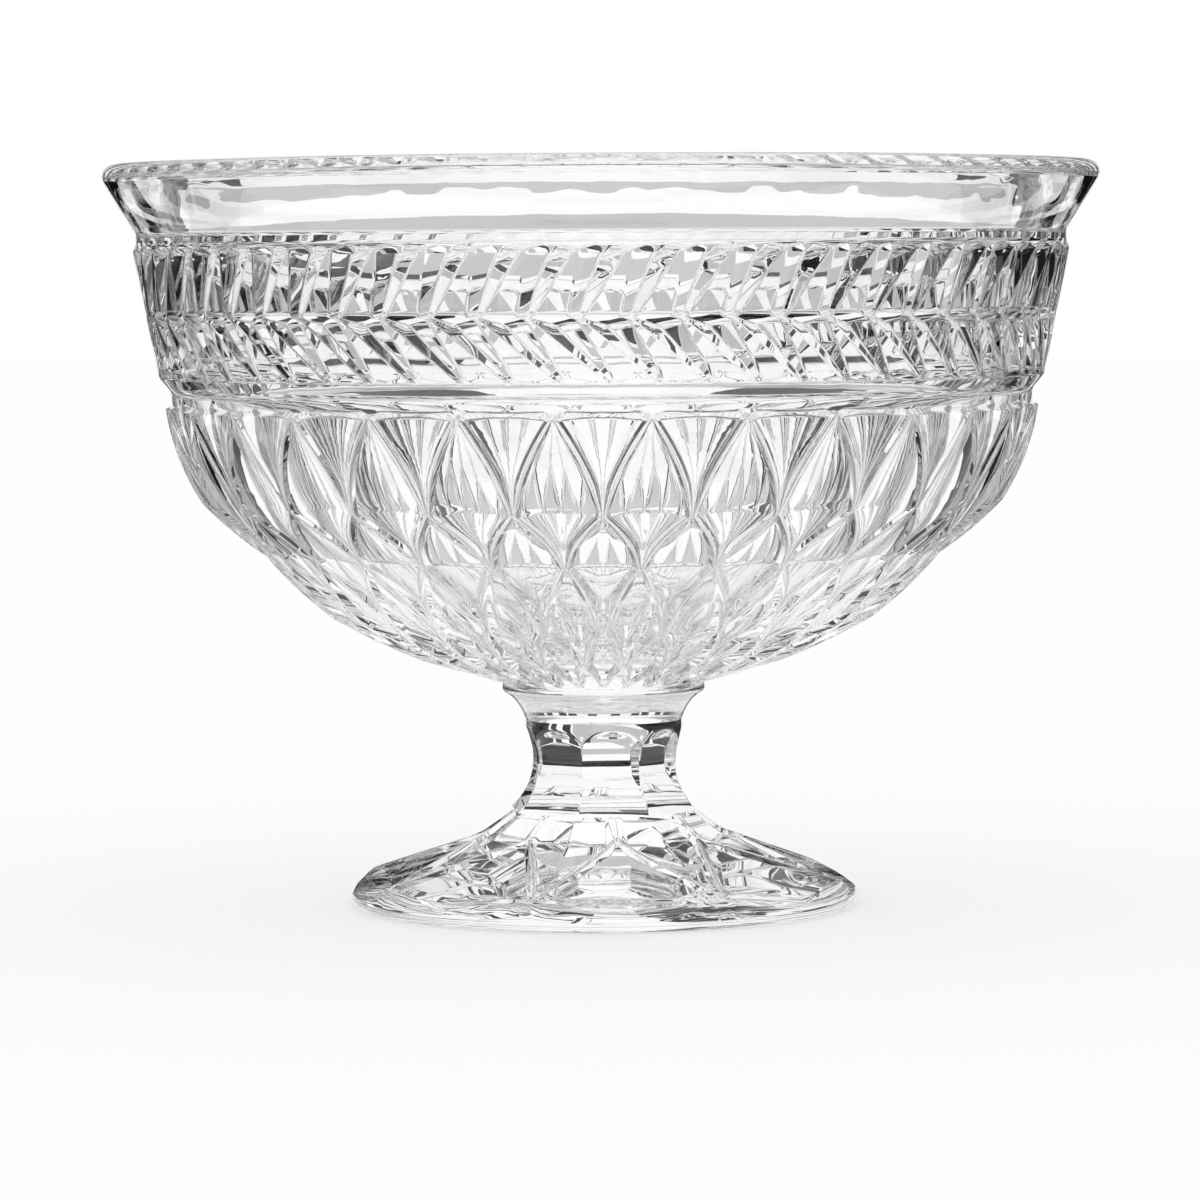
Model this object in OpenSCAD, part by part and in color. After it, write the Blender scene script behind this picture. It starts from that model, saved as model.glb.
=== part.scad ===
// Footed honey dish in clear cut crystal. A flared bowl stands on a joining wafer,
// an eight-sided stem and a round foot, stacked face to face on the Z axis.
// Millimetres, +Z up. The origin is the middle of the ring that the foot rests on,
// and -Y is the front.

/* [Lip and neck] */
// Diameter over the rim
rim_d = 127; // [122:1:136]
// Thickness of the flared lip, which is also its rounded edge
lip_t = 3.2; // [2.4:0.1:3.8]
// Height of the flared lip above the neck
lip_h = 8.9; // [7:0.1:12]
// Straight run of the flare's inside, over the neck and below the rounded edge
flare_run = 2.2; // [1.5:0.1:3.5]
// Diameter of the neck under the lip
neck_d = 118.8; // [117:0.2:120]
// Height of the smooth neck
neck_h = 2.1; // [1.5:0.1:4]

/* [Herringbone band] */
// Diameter at the top of the band
band_top_d = 119.4; // [118:0.2:121]
// Diameter at the foot of the band
band_bottom_d = 113.2; // [112.6:0.2:114.6]
// Height of the upper row of cuts
upper_h = 8.2; // [6:0.1:12]
// Height of the lower row of cuts
lower_h = 7.5; // [6:0.1:12]
// Chevrons around the band
chevrons = 60; // [48:1:72]
// Depth of the mitre cuts
cut_depth = 0.9; // [0.4:0.1:1.3]
// Turn of the first chevron from the front, in degrees
chevron_turn = -2.6; // [-6:0.1:6]

/* [Ledge and ring] */
// Diameter of the ledge under the band
ledge_d = 113.8; // [113.4:0.2:115]
// Height of the ledge
ledge_h = 2; // [1.2:0.1:3]
// Diameter of the plain ring under the ledge
ring_d = 110.1; // [108:0.1:110.6]
// Height of the plain ring
ring_h = 2.4; // [1:0.1:4]

/* [Belly] */
// Diamond petals around the belly
petals = 30; // [20:1:40]
// Depth of the cut in the middle of each petal
petal_depth = 0.9; // [0.3:0.1:1.4]
// Diameter at the top of the belly
belly_d = 111.8; // [111.4:0.1:113]
// Height of the first row of petals
belly_h = 11.8; // [9:0.1:16]
// Diameter at the shoulder, under the first row
shoulder_d = 102.6; // [100:0.2:107]
// Height from the hip to the shoulder
shoulder_h = 15.2; // [12:0.2:19]
// Diameter at the hip, where the underside starts
hip_d = 68.8; // [64:0.2:74]
// Height of the hip over the bowl's base
hip_h = 8.1; // [6.5:0.1:10]

/* [Inside of the bowl] */
// Wall thickness at the neck
wall_t = 4; // [3.4:0.1:5]
// Wall thickness at the plain ring
ring_wall_t = 2.9; // [2.2:0.1:3.6]
// Glass under the middle of the bowl
floor_t = 5; // [4:0.1:7]

/* [Joining wafer] */
// Diameter of the wafer under the bowl
wafer_d = 26; // [23:0.2:30]
// Thickness of the wafer
wafer_h = 5; // [4:0.1:8]
// Height of the wafer's straight edge
wafer_edge_h = 1.2; // [0.8:0.1:2]

/* [Stem] */
// Flat panels around the stem and the foot
panels = 8; // [6:1:10]
// Width over two opposite panels at the waist
stem_w = 17.6; // [16:0.1:18.2]
// Diameter of the round collar at the top of the stem
collar_d = 20; // [19.6:0.1:21]
// Height of the stem
stem_h = 11.6; // [10.6:0.1:14]
// Height of the waist over the bottom of the stem
waist_h = 6.3; // [5.4:0.1:6.8]
// Radius of the hollow that each panel is ground to
panel_r = 8.6; // [8:0.1:11]
// Turn of the front panel, in degrees
stem_turn = 6; // [-22:0.5:22]

/* [Foot] */
// Diameter of the foot
foot_d = 65.4; // [60:0.2:80]
// Height of the foot
foot_h = 12.2; // [11:0.1:16]
// Thickness of the foot's rounded edge
edge_t = 3.3; // [2.8:0.1:3.8]
// Width of the plain rim around the foot's facets
foot_rim_w = 1.9; // [1.7:0.1:2.6]
// Diameter of the hollow under the foot
hollow_d = 50; // [36:0.5:52]
// Depth of the hollow under the foot
hollow_h = 0.8; // [0.6:0.1:2.2]

/* [Hidden] */
$fn = 96;
front = -90;
bite = 0.5;

// Heights of the joints and of the bowl's levels
stem_z = foot_h;
wafer_z = stem_z + stem_h;
bowl_z = wafer_z + wafer_h;
hip_z = bowl_z + hip_h;
shoulder_z = hip_z + shoulder_h;
belly_z = shoulder_z + belly_h;
ledge_z = belly_z + ring_h;
band_z = ledge_z + ledge_h;
band_mid_z = band_z + lower_h;
neck_z = band_mid_z + upper_h;
lip_z = neck_z + neck_h;
rim_z = lip_z + lip_h;

// Lip: a straight flare of even thickness that ends in a round edge
edge_r = lip_t / 2;
edge_x = rim_d / 2 - edge_r;
edge_z = rim_z - edge_r;
lip_slope = atan2(edge_x + edge_r - neck_d / 2, edge_z - lip_z);

// Stem and foot: the width over the panels where the two meet
joint_a = stem_w / 2 + panel_r - sqrt(panel_r * panel_r - waist_h * waist_h);
half_panel = 180 / panels;

function ring_point(r, a, z) = [r * cos(a), r * sin(a), z];
function bezier(p, t) =
    pow(1 - t, 3) * p[0] + 3 * t * pow(1 - t, 2) * p[1] + 3 * t * t * (1 - t) * p[2] + pow(t, 3) * p[3];
function curve(p, n) = [for (i = [0 : n]) bezier(p, i / n)];
function arc(x, z, r, from, to, n) =
    [for (i = [0 : n]) let (a = from + (to - from) * i / n) [x + r * cos(a), z + r * sin(a)]];

// Round body behind the cut bands: lip, neck, ledge and plain ring
module bowl_core() {
    core_r = ring_d / 2 - cut_depth;
    rotate_extrude()
        polygon(concat(
            [[0, rim_z]],
            arc(edge_x, edge_z, edge_r, 90, -lip_slope, 8),
            [[neck_d / 2, lip_z],
             [band_top_d / 2, neck_z],
             [band_top_d / 2, neck_z - bite],
             [core_r, neck_z - bite],
             [core_r, band_z + bite],
             [ledge_d / 2 - bite, band_z + bite],
             [ledge_d / 2, band_z],
             [ledge_d / 2, band_z - ledge_h / 3],
             [ring_d / 2, ledge_z],
             [ring_d / 2, belly_z - bite / 2],
             [ring_d / 2 - 3 * bite, belly_z - 2 * bite],
             [0, belly_z - 2 * bite]]));
}

// Drum of mitre cuts. The upper row widens from the middle line up to the neck,
// the lower row narrows from the middle line down to the ledge.
module herringbone() {
    n = chevrons;
    pitch = 360 / n;
    mid_r = (band_bottom_d + (band_top_d - band_bottom_d) * lower_h / (lower_h + upper_h)) / 2;
    function at(u, r, z) = ring_point(r, front + chevron_turn + u * pitch, z);
    top = [for (i = [0 : n - 1]) each [at(i + 0.45, band_top_d / 2 - cut_depth, neck_z),
                                       at(i + 1, band_top_d / 2 - 0.05, neck_z)]];
    middle = [for (i = [0 : n - 1]) each [at(i, mid_r, band_mid_z),
                                          at(i + 0.4, mid_r - cut_depth, band_mid_z)]];
    bottom = [for (i = [0 : n - 1]) at(i + 1.6, band_bottom_d / 2, band_z)];
    function valley(i) = 2 * (i % n);
    function ridge(i) = valley(i) + 1;
    function tip(i) = 2 * n + 2 * (i % n);
    function root(i) = tip(i) + 1;
    function end(i) = 4 * n + i % n;
    sides = [for (i = [0 : n - 1]) each [[tip(i), valley(i), ridge(i)],
                                         [tip(i), ridge(i), tip(i + 1)],
                                         [tip(i + 1), ridge(i), valley(i + 1)],
                                         [tip(i), tip(i + 1), root(i)],
                                         [tip(i), root(i), end(i)],
                                         [root(i), tip(i + 1), end(i)],
                                         [tip(i + 1), end(i + 1), end(i)]]];
    caps = [[for (i = [2 * n - 1 : -1 : 0]) i], [for (i = [0 : n - 1]) end(i)]];
    polyhedron(concat(top, middle, bottom), concat(sides, caps));
}

// Belly of diamond cuts. The corners stand on rings, each ring turned half a petal from
// the next, and the middle of every diamond is sunk along the wall's own normal. The
// half diamonds at the top run out just proud of the plain ring.
module diamond_belly() {
    n = petals;
    base_r = wafer_d / 2 + 0.5;
    rings = [[base_r, bowl_z],
             [base_r + 0.48 * (hip_d / 2 - base_r), bowl_z + 0.36 * hip_h],
             [hip_d / 2, hip_z],
             [hip_d / 2 + 0.54 * (shoulder_d - hip_d) / 2, hip_z + 0.56 * shoulder_h],
             [shoulder_d / 2, shoulder_z],
             [belly_d / 2, belly_z]];
    last = len(rings) - 1;
    function along(k) = rings[min(k + 1, last)] - rings[k - 1];
    function sunk(k) = petal_depth * rings[k][0] / rings[last][0] / norm(along(k)) * along(k);
    function p(k, i) = k * n + i % n;
    function c(k, i) = last * n + k * n + i % n;
    function middle(k, i) = i + k % 2;
    corners = [for (k = [0 : last], i = [0 : n - 1])
        ring_point(rings[k][0], front + (i + (k % 2) / 2) * 360 / n, rings[k][1])];
    centres = [for (k = [1 : last], i = [0 : n - 1])
        ring_point(k < last ? rings[k][0] * cos(180 / n) - sunk(k)[1] : ring_d / 2 + 0.2,
                   front + (i + (k % 2) / 2 + 0.5) * 360 / n,
                   rings[k][1] + (k < last ? sunk(k)[0] : 0))];
    base = [for (i = [0 : n - 1]) [p(0, i), p(1, i), p(0, i + 1)]];
    upper = [for (k = [1 : last - 1], i = [0 : n - 1]) let (top = p(k + 1, middle(k, i)))
        each [[p(k, i), top, c(k, i)], [top, p(k, i + 1), c(k, i)]]];
    lower = [for (k = [1 : last], i = [0 : n - 1]) let (bottom = p(k - 1, middle(k, i)))
        each [[p(k, i + 1), bottom, c(k, i)], [bottom, p(k, i), c(k, i)]]];
    caps = [[for (i = [0 : n - 1]) p(0, i)], [for (i = [n - 1 : -1 : 0]) each [c(last, i), p(last, i)]]];
    polyhedron(concat(corners, centres), concat(base, upper, lower, caps));
}

// Smooth inside, from the floor to the rim. It follows the outside at the hip, the shoulder,
// the ring and the neck, less the wall.
module bowl_inside() {
    floor_z = bowl_z + floor_t;
    ring_mid_z = belly_z + ring_h / 2;
    ring_in_r = min(ring_d, belly_d, ledge_d, band_bottom_d) / 2 - ring_wall_t;
    in_r = (neck_d + band_top_d) / 4 - wall_t;
    lip_in_x = edge_x - edge_r * cos(lip_slope);
    lip_in_z = edge_z + edge_r * sin(lip_slope);
    round = [[0, floor_z],
             [0.353 * hip_d, floor_z],
             [0.433 * shoulder_d, floor_z + 0.252 * (ring_mid_z - floor_z)],
             [ring_in_r, ring_mid_z]];
    wall = [round[3],
            round[3] + 0.2315 * (round[3] - round[2]),
            [in_r - 0.35, neck_z - 0.38 * (neck_z - ring_mid_z)],
            [in_r, neck_z]];
    flare = [wall[3],
             [in_r + 0.2, lip_z + flare_run],
             [lip_in_x - flare_run * sin(lip_slope), lip_in_z - flare_run * cos(lip_slope)],
             [lip_in_x, lip_in_z]];
    rotate_extrude()
        polygon(concat(
            curve(round, 20),
            [for (i = [1 : 6]) bezier(wall, i / 6)],
            [for (i = [1 : 8]) bezier(flare, i / 8)],
            arc(edge_x, edge_z, edge_r, 180 - lip_slope, 90, 4),
            [[edge_x, rim_z + 1], [0, rim_z + 1]]));
}

module bowl() {
    color("lightcyan")
        difference() {
            union() {
                bowl_core();
                herringbone();
                diamond_belly();
            }
            bowl_inside();
        }
}

// Disc of hot glass that joins the bowl to the stem
module wafer() {
    cove = [[wafer_d / 2, bowl_z - wafer_edge_h],
            [collar_d / 2 + 0.3, bowl_z - wafer_edge_h],
            [collar_d / 2 + 0.3, wafer_z + 0.35 * wafer_h],
            [collar_d / 2, wafer_z]];
    color("paleturquoise")
        rotate_extrude()
            polygon(concat([[0, bowl_z], [wafer_d / 2, bowl_z]], curve(cove, 10), [[0, wafer_z]]));
}

// Round stem with a hollow-ground panel on each side
module stem() {
    waist_z = stem_z + waist_h;
    axis_r = stem_w / 2 + panel_r;
    color("powderblue")
        difference() {
            rotate_extrude()
                polygon([[0, wafer_z],
                         [collar_d / 2, wafer_z],
                         [collar_d / 2, stem_z + 0.5 * waist_h],
                         [joint_a / cos(half_panel) + 0.6, stem_z],
                         [0, stem_z]]);
            for (i = [0 : panels - 1])
                rotate([0, 0, front + stem_turn + i * 360 / panels])
                    translate([axis_r, 0, waist_z])
                        rotate([90, 0, 0])
                            cylinder(r = panel_r, h = 3 * stem_w, center = true);
        }
}

// Facets of the foot: each panel ends in a point, and a petal spreads from it to the edge
module foot_petals() {
    n = panels;
    neck_r = joint_a / cos(half_panel);
    point_a = 1.3 * joint_a;
    point_z = 0.78 * foot_h;
    point_r = point_a / cos(half_panel);
    out_r = foot_d / 2 - foot_rim_w;
    petal_z = edge_t - 0.35;
    petal_slope = (point_z - petal_z) / (out_r - point_a);
    out_z = point_z - petal_slope * (out_r * cos(half_panel) - point_a);
    under_z = edge_t / 4;
    function panel(i) = front + stem_turn + i * 360 / n;
    function corner(i) = panel(i) + half_panel;
    function ring(r, z, on_corner) = [for (i = [0 : n - 1])
        ring_point(r, on_corner ? corner(i) : panel(i), z)];
    points = concat(
        ring(neck_r, foot_h, true),
        ring(point_a, point_z, false),
        ring(point_r, point_z, true),
        ring(point_r + 0.38 * (out_r - point_r), point_z - 0.47 * (point_z - out_z), true),
        ring(out_r, out_z, true),
        ring(out_r, petal_z, false),
        ring(out_r, under_z, true),
        ring(out_r, under_z, false));
    function p(k, i) = k * n + (i + n) % n;
    sides = [for (i = [0 : n - 1]) each [[p(0, i - 1), p(0, i), p(1, i)],
                                         [p(0, i - 1), p(1, i), p(2, i - 1)],
                                         [p(0, i), p(2, i), p(1, i)],
                                         [p(2, i), p(1, i + 1), p(3, i)],
                                         [p(1, i), p(2, i), p(3, i)],
                                         [p(1, i), p(3, i), p(4, i)],
                                         [p(3, i), p(1, i + 1), p(4, i)],
                                         [p(1, i), p(4, i), p(5, i)],
                                         [p(1, i), p(5, i), p(4, i - 1)],
                                         [p(5, i), p(4, i), p(6, i), p(7, i)],
                                         [p(4, i - 1), p(5, i), p(7, i), p(6, i - 1)]]];
    caps = [[for (i = [n - 1 : -1 : 0]) p(0, i)], [for (i = [0 : n - 1]) each [p(7, i), p(6, i)]]];
    polyhedron(points, concat(sides, caps));
}

// Round foot with a rounded edge, hollow underneath so that it rests on a ring
module foot() {
    bead_r = edge_t / 2;
    hollow_r = (hollow_d * hollow_d / 4 + hollow_h * hollow_h) / (2 * hollow_h);
    color("lightblue")
        difference() {
            union() {
                foot_petals();
                rotate_extrude()
                    polygon(concat(
                        [[0, 0], [foot_d / 2 - bead_r, 0]],
                        arc(foot_d / 2 - bead_r, bead_r, bead_r, -45, 90, 9),
                        [[foot_d / 2 - 2 * bead_r, bead_r], [0, bead_r]]));
            }
            translate([0, 0, hollow_h - hollow_r])
                sphere(r = hollow_r);
        }
}

bowl();
wafer();
stem();
foot();
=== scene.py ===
"""A footed honey dish in clear cut crystal. Bowl, wafer, stem and foot are closed meshes of their own."""

import math

import bpy
import numpy as np
from mathutils import Matrix, Vector


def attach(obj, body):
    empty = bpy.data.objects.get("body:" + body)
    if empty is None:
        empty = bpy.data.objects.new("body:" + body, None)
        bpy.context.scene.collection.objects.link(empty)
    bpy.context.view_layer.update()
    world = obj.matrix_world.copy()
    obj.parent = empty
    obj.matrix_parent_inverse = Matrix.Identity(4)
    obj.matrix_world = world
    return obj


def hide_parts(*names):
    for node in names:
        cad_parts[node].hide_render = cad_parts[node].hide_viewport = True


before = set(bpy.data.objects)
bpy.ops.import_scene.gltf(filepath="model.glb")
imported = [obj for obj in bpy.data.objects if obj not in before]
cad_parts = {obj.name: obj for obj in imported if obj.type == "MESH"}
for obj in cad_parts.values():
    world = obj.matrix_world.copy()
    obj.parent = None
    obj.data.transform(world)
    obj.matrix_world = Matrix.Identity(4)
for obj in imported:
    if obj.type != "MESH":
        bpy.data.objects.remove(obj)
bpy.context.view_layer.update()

MM = 0.001
FRONT = -90.0               # degrees, the side towards the camera

# Sizes of the dish in mm, as in the part's source.
CHEVRONS = 60
PITCH = 360 / CHEVRONS
CHEVRON_TURN = -2.6
COLUMNS = 9                 # mesh columns to one chevron, and to half a petal
RIM_Z, LIP_R, LIP_T = 95.0, 63.5, 3.2
LIP_SLOPE = 29.3
BAND_TOP, BAND_MID, BAND_BOTTOM = 84.0, 75.8, 68.3
BAND_TOP_R, BAND_BOTTOM_R = 59.7, 56.6
CUT = 0.95
RING_R = 55.05
BELLY = np.array([(13.5, 28.8), (23.53, 31.72), (34.4, 36.9), (43.53, 45.41), (51.3, 52.1), (55.9, 63.9)])
PETAL_DEPTH = np.array([0.0, 0.45, 0.7, 0.8, 0.9, 0.9])
PETAL_SWELL = np.array([0.1, 0.2, 0.3, 0.3, 0.6])
LEAST = 0.025               # share of the width a petal has at its tip
JOINT_R = 13.0
WAFER_Z, STEM_Z, FOOT_Z = 23.8, 12.2, 0.0
COLLAR_R = 10.0
PANELS = 8
STEM_TURN = 6.0
WAIST_Z, PANEL_R, PANEL_AXIS = 18.5, 8.6, 17.4
FOOT_R = 32.7
HOLLOW_R, HOLLOW_H = 25.0, 0.8
# Ridges between two cuts: half the flat top, the flank and the height, on the bowl from its lowest ring up;
# then the share of each hollow's depth that is kept there.
BOWL_RIDGES = np.array([(0.5, 0.5, 0.7), (0.5, 0.5, 0.85), (0.5, 0.45, 0.8), (0.42, 0.36, 0.5),
                        (0.32, 0.28, 0.3), (0.32, 0.28, 0.28)])
HOLLOWS = np.array([0.2, 0.2, 0.2, 0.6, 1, 1])
FOOT_RIDGE = 0.5, 0.4, 0.55


def turn(radius, angle, height):
    """Points in mm from a radius, an angle in degrees from the front, and a height."""
    a = np.radians(FRONT + np.asarray(angle, float))
    r, a, z = np.broadcast_arrays(np.asarray(radius, float), a, np.asarray(height, float))
    return np.stack([r * np.cos(a), r * np.sin(a), z], axis=-1)


def mix(a, b, t):
    return a + (b - a) * t


def bezier(points, count):
    t = np.linspace(0, 1, count)[:, None]
    a, b, c, d = np.asarray(points, float)
    return (1 - t) ** 3 * a + 3 * (1 - t) ** 2 * t * b + 3 * (1 - t) * t ** 2 * c + t ** 3 * d


def arc(centre, radius, start, end, count):
    a = np.radians(np.linspace(start, end, count))
    return np.stack([centre[0] + radius * np.cos(a), centre[1] + radius * np.sin(a)], axis=1)


def revolve(profile, angles):
    return [turn(r, angles, z) for r, z in profile]


def solid(name, node, loops, first, last, joints, materials):
    """A closed mesh from rings of points, from the point first to the point last. joints are the strips
    where the piece is welded to the next one, counted from the first point."""
    loops = np.asarray(loops)
    rows, cols = loops.shape[:2]
    points = np.vstack([loops.reshape(-1, 3), first, last]) * MM
    j = np.arange(cols)
    k = np.roll(j, -1)
    faces = [(rows * cols, b, a) for a, b in zip(j.tolist(), k.tolist())]
    strip = [0] * cols
    for r in range(rows - 1):
        low, high = r * cols, (r + 1) * cols
        faces += np.stack([low + j, low + k, high + k, high + j], axis=1).tolist()
        strip += [r + 1] * cols
    low = (rows - 1) * cols
    faces += [(rows * cols + 1, a, b) for a, b in zip((low + j).tolist(), (low + k).tolist())]
    strip += [rows] * cols
    volume = sum(float(np.dot(points[f[0]], np.cross(points[f[i]], points[f[i + 1]])))
                 for f in faces for i in range(1, len(f) - 1))
    if volume < 0:
        faces = [tuple(reversed(f)) for f in faces]
    mesh = bpy.data.meshes.new(name)
    mesh.from_pydata(points.tolist(), [], faces)
    for material in materials:
        mesh.materials.append(material)
    welded = [s in joints for s in strip]
    mesh.polygons.foreach_set("material_index", [int(w) for w in welded])
    mesh.polygons.foreach_set("use_smooth", [not w for w in welded])
    mesh.set_sharp_from_angle(angle=math.radians(55))
    mesh.validate()
    mesh.update()
    piece = bpy.data.objects.new(name, mesh)
    bpy.context.scene.collection.objects.link(piece)
    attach(piece, "root")
    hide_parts(node)
    return piece


# Materials: polished crystal with the faint waviness of pressed glass, and the weld between two pieces,
# where the glass runs through and nothing shows.

def crystal_material():
    material = bpy.data.materials.new("clear_crystal")
    material.use_nodes = True
    nodes, links = material.node_tree.nodes, material.node_tree.links
    shader = nodes["Principled BSDF"]
    shader.inputs["Base Color"].default_value = (0.994, 0.997, 0.998, 1)
    shader.inputs["Transmission Weight"].default_value = 1.0
    shader.inputs["IOR"].default_value = 1.52
    place = nodes.new("ShaderNodeTexCoord")
    wave = nodes.new("ShaderNodeTexNoise")
    wave.inputs["Scale"].default_value = 160
    wave.inputs["Detail"].default_value = 1
    bump = nodes.new("ShaderNodeBump")
    bump.inputs["Strength"].default_value = 0.08
    bump.inputs["Distance"].default_value = 0.0004
    haze = nodes.new("ShaderNodeTexNoise")
    haze.inputs["Scale"].default_value = 60
    haze.inputs["Detail"].default_value = 3
    rough = nodes.new("ShaderNodeMapRange")
    rough.inputs["From Min"].default_value = 0.4
    rough.inputs["From Max"].default_value = 0.75
    rough.inputs["To Min"].default_value = 0.0
    rough.inputs["To Max"].default_value = 0.008
    links.new(place.outputs["Object"], wave.inputs["Vector"])
    links.new(place.outputs["Object"], haze.inputs["Vector"])
    links.new(wave.outputs["Fac"], bump.inputs["Height"])
    links.new(bump.outputs["Normal"], shader.inputs["Normal"])
    links.new(haze.outputs["Fac"], rough.inputs["Value"])
    links.new(rough.outputs["Result"], shader.inputs["Roughness"])
    return material


def weld_material():
    material = bpy.data.materials.new("weld")
    material.use_nodes = True
    nodes, links = material.node_tree.nodes, material.node_tree.links
    nodes.remove(nodes["Principled BSDF"])
    clear = nodes.new("ShaderNodeBsdfTransparent")
    links.new(clear.outputs["BSDF"], nodes["Material Output"].inputs["Surface"])
    return material


GLASS = [crystal_material(), weld_material()]


def ridge_places(half, ridge):
    """Places across a cut, -1 and 1 being its edges, of the tops, feet and insides of the ridges beside it,
    for its half-width in mm."""
    land, flank = ridge[:2]
    return (1 - np.minimum(land / half, 0.25), 1 - np.minimum((land + flank) / half, 0.45),
            1 - np.minimum((land + 1.6 * flank) / half, 0.6))


# Bowl: from the middle of its floor up the inside, over the lip, down the outside to its base.

SUPPORT = np.array([0.0, 0.12, 0.88])
SLOPE = np.array([math.sin(math.radians(LIP_SLOPE)), math.cos(math.radians(LIP_SLOPE))])
LIP_CENTRE = np.array([LIP_R - LIP_T / 2, RIM_Z - LIP_T / 2])


def chevron_angles(places):
    return CHEVRON_TURN + PITCH * (np.arange(CHEVRONS)[:, None] + places).ravel()


def across(a, b, c):
    """Column places over one chevron, between its three lines and the first line of the next."""
    return np.concatenate([mix(lo, hi, SUPPORT) for lo, hi in ((a, b), (b, c), (c, a + 1))])


def all_round(values):
    return np.tile(values, CHEVRONS)


def band_radius(z):
    return mix(BAND_BOTTOM_R, BAND_TOP_R, (z - BAND_BOTTOM) / (BAND_TOP - BAND_BOTTOM))


def even_angles(offset):
    return chevron_angles(np.arange(COLUMNS) / COLUMNS + offset)


def petal_angles(wide, radius, ridge):
    """Column angles and, per column, the share of the full width of its petal, the place across the hollow
    of the petal and the share of the ridge's height it lies down. wide is the share of the petals at even
    places; those at odd places have the rest."""
    place = np.arange(CHEVRONS) + 1
    share = np.where(place % 2 == 0, wide, 1 - wide)
    half = np.radians(PITCH * share) * radius
    land, flank, inside = ridge_places(half, ridge)
    x = np.stack([-np.ones_like(half), -land, -flank, -inside, -0.35 * inside,
                  0.35 * inside, inside, flank, land], axis=1)
    angles = PITCH * (place[:, None] + x * share[:, None])
    hollow = np.minimum(np.abs(x) / flank[:, None], 1)
    down = np.array([0, 0.1, 1, 1, 1, 1, 1, 1, 0.1]) * np.minimum(half / 1.2, 1)[:, None]
    return angles.ravel(), np.repeat(share, COLUMNS), hollow.ravel(), down.ravel()


def petal_row(k, steps, arch):
    """Rings from belly ring k + 1 down to ring k, the last one left out."""
    top, low = BELLY[k + 1], BELLY[k]
    along = low - top
    out = np.array([-along[1], along[0]]) / np.hypot(*along)
    loops = []
    for s in steps:
        grown = s * (1 + arch * (1 - s))
        grown = LEAST + (1 - 2 * LEAST) * grown
        wide = grown if (k + 1) % 2 == 0 else 1 - grown
        ridge = mix(BOWL_RIDGES[k + 1], BOWL_RIDGES[k], s)
        angles, share, hollow, down = petal_angles(wide, mix(top[0], low[0], s), ridge)
        growing = (np.arange(CHEVRONS) + 1) % 2 == (k + 1) % 2
        depth = np.repeat(np.where(growing, PETAL_DEPTH[k], PETAL_DEPTH[k + 1]), COLUMNS)
        flute = mix(HOLLOWS[k + 1], HOLLOWS[k], s) * np.maximum(depth - 0.28, 0.2)
        sink = ridge[2] * down + flute * share * (1 - hollow ** 2)
        swell = PETAL_SWELL[k] * 4 * s * (1 - s)
        r = mix(top[0], low[0], s) + out[0] * (swell - sink)
        z = mix(top[1], low[1], s) + out[1] * (swell - sink)
        loops.append(turn(r, angles, z))
    return loops


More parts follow.
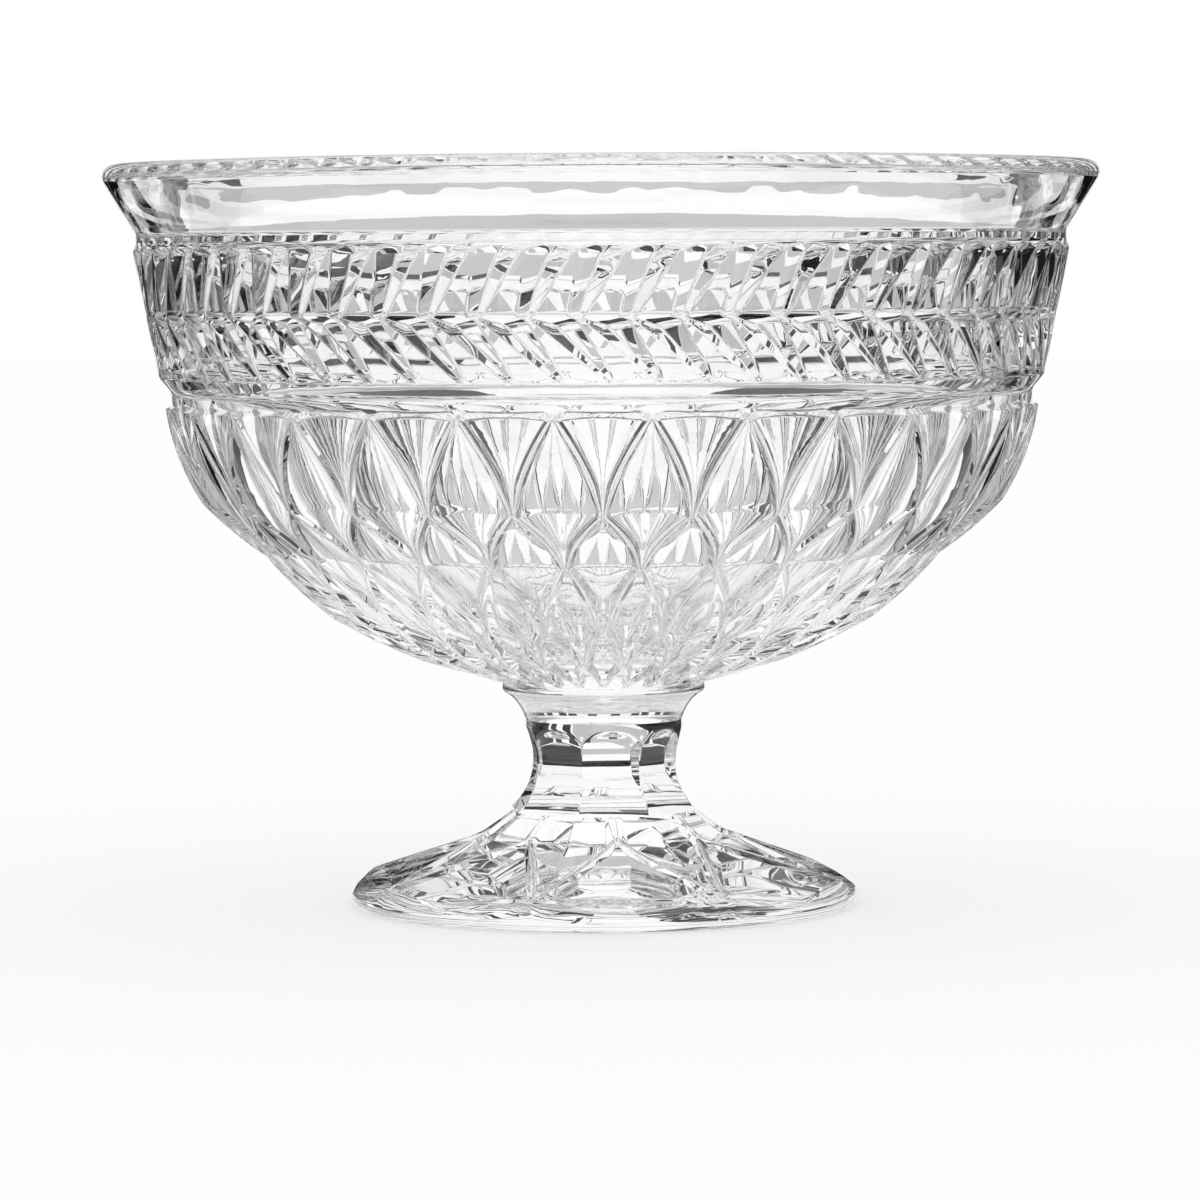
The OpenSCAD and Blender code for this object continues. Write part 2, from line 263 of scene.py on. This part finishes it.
def make_bowl():
    lip_in = LIP_CENTRE - np.array([SLOPE[1], -SLOPE[0]]) * LIP_T / 2
    wall = bezier(((0, 33.8), (24.29, 33.8), (44.43, 41.69), (52.15, 65.1)), 26)[1:]
    rise = bezier((wall[-1], (53.94, 70.52), (55.2, 76.82), (55.55, 84)), 9)[1:]
    flare = bezier((rise[-1], (55.75, 88.3), lip_in - 2.2 * SLOPE, lip_in), 14)[1:]
    lip = arc(LIP_CENTRE, LIP_T / 2, 180 - LIP_SLOPE, -LIP_SLOPE, 16)[1:]
    cove = [mix(lip[-1], np.array([59.62, 86.5]), t) for t in (0.25, 0.5, 0.75, 0.92, 1)]
    neck = [(59.46, 86.28), (59.37, 86.05), (59.35, 85.7), (59.35, 85.1), (59.38, 84.75), (59.48, 84.5), (59.6, 84.3)]
    angles = even_angles(0.137)
    loops = revolve(np.vstack([wall, rise, flare, lip, cove, neck]), angles)

    upper = all_round(np.array([0, 0.12, 0.88, 1, 0.88, 0.12, 0, 0, 0]))
    for t in (1, 0.94, 0.8, 0.62, 0.44, 0.26, 0.1, 0):
        places = across(mix(-0.2, 0, t), mix(0, 0.45, t ** 1.15), mix(0.08, 0.96, t ** 1.05))
        z = mix(BAND_MID + 0.12, BAND_TOP - 0.1, t) - 0.4 * upper * (t == 1)
        r = band_radius(z) - upper * mix(0.12, CUT, t)
        loops.append(turn(r, chevron_angles(places), z))

    lower = all_round(np.array([0, 0, 0, 0, 0.12, 0.88, 1, 0.88, 0.12]))
    for t in (0, 0.1, 0.26, 0.44, 0.62, 0.8, 0.94, 1):
        places = across(mix(-0.02, 0.68, t), mix(0.02, 1.52, t), mix(0.4, 1.6, t))
        z = mix(BAND_MID - 0.12, BAND_BOTTOM, t) - 0.55 * lower * (t == 0)
        r = band_radius(z) - lower * mix(CUT, 0.12, t)
        loops.append(turn(r, chevron_angles(places), z))

    angles = even_angles(0.93)
    loops += revolve([(56.6, 68.1), (56.48, 67.85), (55.6, 66.75), (55.28, 66.35), (55.1, 65.95)], angles)
    petals = petal_angles(1 - LEAST, BELLY[5, 0], BOWL_RIDGES[5])[0]
    loops += [turn(RING_R, mix(angles, petals, t), z) for t, z in ((0.3, 65.5), (0.7, 64.9), (1, 64.45))]

    steps = np.array([0, 0.03, 0.09, 0.17, 0.26, 0.36, 0.46, 0.56, 0.66, 0.76, 0.86, 0.94])
    for k, arch in ((4, 0.6), (3, 0.7), (2, 0.6), (1, 0.5), (0, 0.4)):
        loops += petal_row(k, steps if k > 1 else steps[::2], arch)
    base = petal_angles(LEAST, BELLY[0, 0], BOWL_RIDGES[0])[0]
    loops += [turn(BELLY[0, 0], base, BELLY[0, 1]), turn(JOINT_R + 0.05, base, BELLY[0, 1])]
    return solid("crystal_bowl", "bowl", loops, (0, 0, 33.8), (0, 0, BELLY[0, 1]), {len(loops)}, GLASS)


def make_wafer():
    top = BELLY[0, 1]
    edge = [(JOINT_R, top), (JOINT_R, top - 0.25), (JOINT_R, top - 0.9), (JOINT_R - 0.05, top - 1.15)]
    cove = bezier(((12.8, 27.45), (11.2, 26.6), (10.6, 25.3), (COLLAR_R + 0.04, WAFER_Z + 0.1)), 14)
    loops = revolve(edge + [tuple(p) for p in cove] + [(COLLAR_R, WAFER_Z)], np.arange(128) * 360 / 128)
    return solid("crystal_wafer", "wafer", loops, (0, 0, top), (0, 0, WAFER_Z), {0, len(loops)}, GLASS)


def make_stem():
    x = np.array([-1, -0.95, -0.84, -0.66, -0.48, -0.3, -0.15, 0, 0.15, 0.3, 0.48, 0.66, 0.84, 0.95])
    from_middle = np.tile(x * 180 / PANELS, PANELS)
    angles = STEM_TURN + np.repeat(np.arange(PANELS) * 360 / PANELS, len(x)) + from_middle
    heights = np.concatenate([[WAFER_Z, 23.6, 23.35], np.arange(23.15, 20.7, -0.14), np.arange(20.3, 13, -0.7),
                              [12.7, STEM_Z]])
    loops = []
    for z in heights:
        flat = PANEL_AXIS - math.sqrt(PANEL_R ** 2 - min(abs(z - WAIST_Z), 8) ** 2)
        if z == WAFER_Z:
            flat = 2 * COLLAR_R
        panel = flat / np.cos(np.radians(from_middle))
        body = COLLAR_R + max(0, 20 - z) * 0.6
        soft = 0.12
        blend = np.clip(0.5 + 0.5 * (panel - body) / soft, 0, 1)
        loops.append(turn(mix(panel, body, blend) - soft * blend * (1 - blend), angles, z))
    return solid("crystal_stem", "stem", loops, (0, 0, WAFER_Z), (0, 0, STEM_Z), {0, len(loops)}, GLASS)


def make_foot():
    half = math.radians(180 / PANELS)
    start = np.array([15.0, 0, 9.52])
    end = np.array([30.8 * math.cos(half), 30.8 * math.sin(half), 3.93])
    ridge = np.array([(16.24, 9.52), (21.8, 6.89), (30.8, 3.93)])
    fall = (start[2] - end[2]) / (end[0] - start[0])

    def columns(wide, middle):
        """Places across a face, -1 to 1, for its half-width in mm, and how far each one lies down."""
        land, flank, inside = ridge_places(max(wide, 0.05), FOOT_RIDGE)
        x = np.array([-1, -land, -flank, -inside, -middle * inside, 0, middle * inside, inside, flank, land])
        return x, FOOT_RIDGE[2] * min(wide / 1.5, 1) * np.array([0, 0.1, 1, 1, 1, 1, 1, 1, 1, 0.1])

    def ring(edge, corner):
        """One ring from a panel's edge line, the panel's middle lying on +X, and the ridge at its corner."""
        other = edge * (1, -1, 1)
        turned = 2 * half
        c, s = math.cos(turned), math.sin(turned)
        after = np.array([c * other[0] - s * other[1], s * other[0] + c * other[1], other[2]])
        top = np.array([corner[0] * math.cos(half), corner[0] * math.sin(half), corner[1]])
        x, down = columns(edge[1], 0.5)
        panel = [mix(other, edge, (v + 1) / 2) - (0, 0, d) for v, d in zip(x, down)]
        x, down = columns(np.linalg.norm(top - edge), 0.1)
        petal = [mix(top, edge if v < 0 else after, abs(v)) - (0, 0, d) for v, d in zip(x, down)]
        one = np.array(panel + petal)
        spins = np.radians(FRONT + STEM_TURN + np.arange(PANELS) * 360 / PANELS)
        return np.concatenate([np.stack([one[:, 0] * math.cos(a) - one[:, 1] * math.sin(a),
                                         one[:, 0] * math.sin(a) + one[:, 1] * math.cos(a), one[:, 2]], axis=1)
                               for a in spins])

    loops = []
    for apothem, z in ((11.55, STEM_Z), (11.8, 11.97), (12.5, 11.4), (13.3, 10.8), (14.1, 10.2), (14.75, 9.73)):
        loops.append(ring(np.array([apothem, 0.3, z]), (apothem / math.cos(half), z)))
    for s in (0.03, 0.1, 0.2, 0.3, 0.4, 0.47, 0.54, 0.64, 0.74, 0.84, 0.92, 0.97):
        t = s / 0.47
        corner = mix(ridge[0], ridge[1], t) if t < 1 else mix(ridge[1], ridge[2], (s - 0.47) / 0.53)
        loops.append(ring(mix(start, end, s), corner))

    wide = np.concatenate([columns(12, 0.5)[0] * 21.9, 22.5 + columns(0.3, 0.1)[0] * 0.6])
    angles = (STEM_TURN + np.arange(PANELS)[:, None] * 360 / PANELS + wide).ravel()
    from_middle = np.radians(np.tile((wide + 22.5) % 45 - 22.5, PANELS))
    face = start[2] - fall * (31.0 * np.cos(from_middle) - start[0])
    low = 1.2
    for t in np.linspace(0, 1, 9):
        w = (1 - t) ** 3, 3 * (1 - t) ** 2 * t, 3 * (1 - t) * t ** 2, t ** 3
        r = w[0] * 31.0 + w[1] * 32.0 + (w[2] + w[3]) * FOOT_R
        z = w[0] * face + w[1] * (face - fall) + w[2] * mix(low, face - fall, 0.55) + w[3] * low
        loops.append(turn(r, angles, z))
    under = [tuple(p) for p in bezier(((FOOT_R, low), (FOOT_R, 0.5), (32.2, 0), (31.5, 0)), 8)[1:]]
    under += [(28.5, 0), (HOLLOW_R + 0.5, 0), (HOLLOW_R + 0.1, 0.01)]
    under += [(r, HOLLOW_H * (1 - (r / HOLLOW_R) ** 2)) for r in (24.7, 24, 22, 19, 16, 13, 10, 7, 4, 2)]
    loops += revolve(under, angles)
    return solid("crystal_foot", "foot", loops, (0, 0, STEM_Z), (0, 0, HOLLOW_H), {0}, GLASS)


make_bowl()
make_wafer()
make_stem()
make_foot()


# Stage: a pale floor, and a ring of cards, bars and low strips round the dish, the same in front as behind.
# The ring is seen in the glass alone, where it draws the dark lines of clear crystal; it casts no shadow
# and hides nothing.

def plain_material(name, colour, roughness):
    material = bpy.data.materials.new(name)
    material.use_nodes = True
    shader = material.node_tree.nodes["Principled BSDF"]
    shader.inputs["Base Color"].default_value = (*colour, 1)
    shader.inputs["Roughness"].default_value = roughness
    shader.inputs["Specular IOR Level"].default_value = 0.0
    return material


def sheet(name, corners, material):
    mesh = bpy.data.meshes.new(name)
    mesh.from_pydata(corners, [], [tuple(range(len(corners)))])
    mesh.materials.append(material)
    obj = bpy.data.objects.new(name, mesh)
    bpy.context.scene.collection.objects.link(obj)
    return obj


def floor_material():
    """Pale matt floor. Part of what the camera sees of it is plain white, so that it meets the background, and
    the rest is lit and keeps the shadow of the dish. Through the glass it is white, as the background is."""
    material = bpy.data.materials.new("pale_floor")
    material.use_nodes = True
    nodes, links = material.node_tree.nodes, material.node_tree.links
    nodes.remove(nodes["Principled BSDF"])
    shader = nodes.new("ShaderNodeBsdfDiffuse")
    shader.inputs["Color"].default_value = (0.97, 0.97, 0.97, 1)
    white = nodes.new("ShaderNodeEmission")
    path = nodes.new("ShaderNodeLightPath")
    through = nodes.new("ShaderNodeMath")
    through.operation = "MAXIMUM"
    links.new(path.outputs["Is Glossy Ray"], through.inputs[0])
    links.new(path.outputs["Is Transmission Ray"], through.inputs[1])
    half = nodes.new("ShaderNodeMath")
    half.operation = "MULTIPLY"
    half.inputs[1].default_value = 0.6
    links.new(path.outputs["Is Camera Ray"], half.inputs[0])
    seen = nodes.new("ShaderNodeMath")
    seen.operation = "MAXIMUM"
    links.new(half.outputs["Value"], seen.inputs[0])
    links.new(through.outputs["Value"], seen.inputs[1])
    both = nodes.new("ShaderNodeMixShader")
    links.new(seen.outputs["Value"], both.inputs["Fac"])
    links.new(shader.outputs["BSDF"], both.inputs[1])
    links.new(white.outputs["Emission"], both.inputs[2])
    links.new(both.outputs["Shader"], nodes["Material Output"].inputs["Surface"])
    return material


FLOOR, FLOOR_Z = 4, -0.00005        # metres: half its width, and just under the foot
sheet("floor", [(x * FLOOR, y * FLOOR, FLOOR_Z) for x, y in ((-1, -1), (1, -1), (1, 1), (-1, 1))], floor_material())

BLACK = plain_material("black_card", (0.012, 0.012, 0.013), 0.9)
PALE = plain_material("pale_card", (0.56, 0.56, 0.56), 0.9)


def card(name, material, start, end, inner, outer):
    """A curved screen round the dish from azimuth start to end, in degrees from +X, between two edges that
    are each given as a distance and a height."""
    steps = np.radians(np.linspace(start, end, 25))
    points = [(distance * math.cos(a), distance * math.sin(a), z) for distance, z in (inner, outer) for a in steps]
    faces = [(i, i + 1, 26 + i, 25 + i) for i in range(24)]
    mesh = bpy.data.meshes.new(name)
    mesh.from_pydata(points, [], faces)
    mesh.materials.append(material)
    obj = bpy.data.objects.new(name, mesh)
    bpy.context.scene.collection.objects.link(obj)
    obj.visible_camera = False
    obj.visible_diffuse = False
    obj.visible_shadow = False
    return obj


def strip(name, start, end, top):
    """A low strip that stands on the floor, up to a height at a distance."""
    return card(name, BLACK, start, end, (top[0], TABLE), top)


WALL = 1.0                  # metres from the axis to the cards and bars
GROUND, LOW, MID, HIGH, TOP = ((WALL, z) for z in (0.0, 0.105, 0.249, 0.466, 0.839))
BAR = 2                     # degrees, half the width of a bar
END, FAR, SIDE = 16, 35, 90                 # degrees from the middle of the back or the front
STRIP_END, STRIP_SIDE = 15, 60
TABLE = 0.0003              # height of what lies or stands on the floor
END_STRIP, NEAR_STRIP, MID_STRIP, FAR_STRIP = (0.1, 0.014), (0.09, 0.02), (0.16, 0.024), (0.28, 0.022)
CLOTH_START, CLOTH_END = (0.52, TABLE), (0.98, TABLE)

for end, middle in (("back", 90), ("front", -90)):
    card("card_low_" + end, PALE, middle - END, middle + END, LOW, MID)
    card("card_high_" + end, PALE, middle - END, middle + END, HIGH, TOP)
    for bar in (-14, -5, 5, 14):
        card("bar_%s_%d" % (end, bar), BLACK, middle + bar - BAR, middle + bar + BAR, MID, HIGH)
    strip("strip_" + end, middle - STRIP_END, middle + STRIP_END, END_STRIP)
    for hand, side in (("left", 1), ("right", -1)):
        name = end + "_" + hand
        card("card_low_" + name, BLACK, middle + side * END, middle + side * FAR, GROUND, LOW)
        card("card_high_" + name, PALE, middle + side * END, middle + side * FAR, HIGH, TOP)
        card("card_far_" + name, BLACK, middle + side * FAR, middle + side * SIDE, GROUND, TOP)
        for bar in (19, 27, 33):
            start, stop = middle + side * (bar - BAR), middle + side * (bar + BAR)
            card("bar_%s_%d" % (name, bar), BLACK, start, stop, LOW, HIGH)
        start, stop = middle + side * STRIP_END, middle + side * STRIP_SIDE
        strip("strip_near_" + name, start, stop, NEAR_STRIP)
        strip("strip_mid_" + name, start, stop, MID_STRIP)
        strip("strip_far_" + name, start, stop, FAR_STRIP)
        card("cloth_" + name, BLACK, start, stop, CLOTH_START, CLOTH_END)
for hand, middle in (("left", 180), ("right", 0)):
    start, stop = middle - (SIDE - STRIP_SIDE), middle + (SIDE - STRIP_SIDE)
    strip("strip_mid_" + hand, start, stop, MID_STRIP)
    strip("strip_far_" + hand, start, stop, FAR_STRIP)

world = bpy.data.worlds.new("studio")
bpy.context.scene.world = world
world.use_nodes = True
sky = world.node_tree.nodes["Background"]
sky.inputs["Color"].default_value = (1, 1, 1, 1)
sky.inputs["Strength"].default_value = 1.0

# Camera: at the photograph's place, a little above the rim's lower edge and turned by its small roll.

camera_data = bpy.data.cameras.new("camera")
camera = bpy.data.objects.new("camera", camera_data)
bpy.context.scene.collection.objects.link(camera)
camera_data.lens = 156.3
camera_data.sensor_width = 36
camera_data.clip_end = 50
place = Vector((-0.0004, -0.668, 0.0818))
aim = Vector((-0.0004, 0, 0.03905))
roll = Matrix.Rotation(math.radians(-0.33), 4, "Z")
camera.matrix_world = Matrix.Translation(place) @ (aim - place).to_track_quat("-Z", "Y").to_matrix().to_4x4() @ roll
bpy.context.scene.camera = camera

scene = bpy.context.scene
scene.view_settings.view_transform = "Standard"
scene.cycles.max_bounces = 32
scene.cycles.transmission_bounces = 32
scene.cycles.glossy_bounces = 16
scene.cycles.transparent_max_bounces = 32
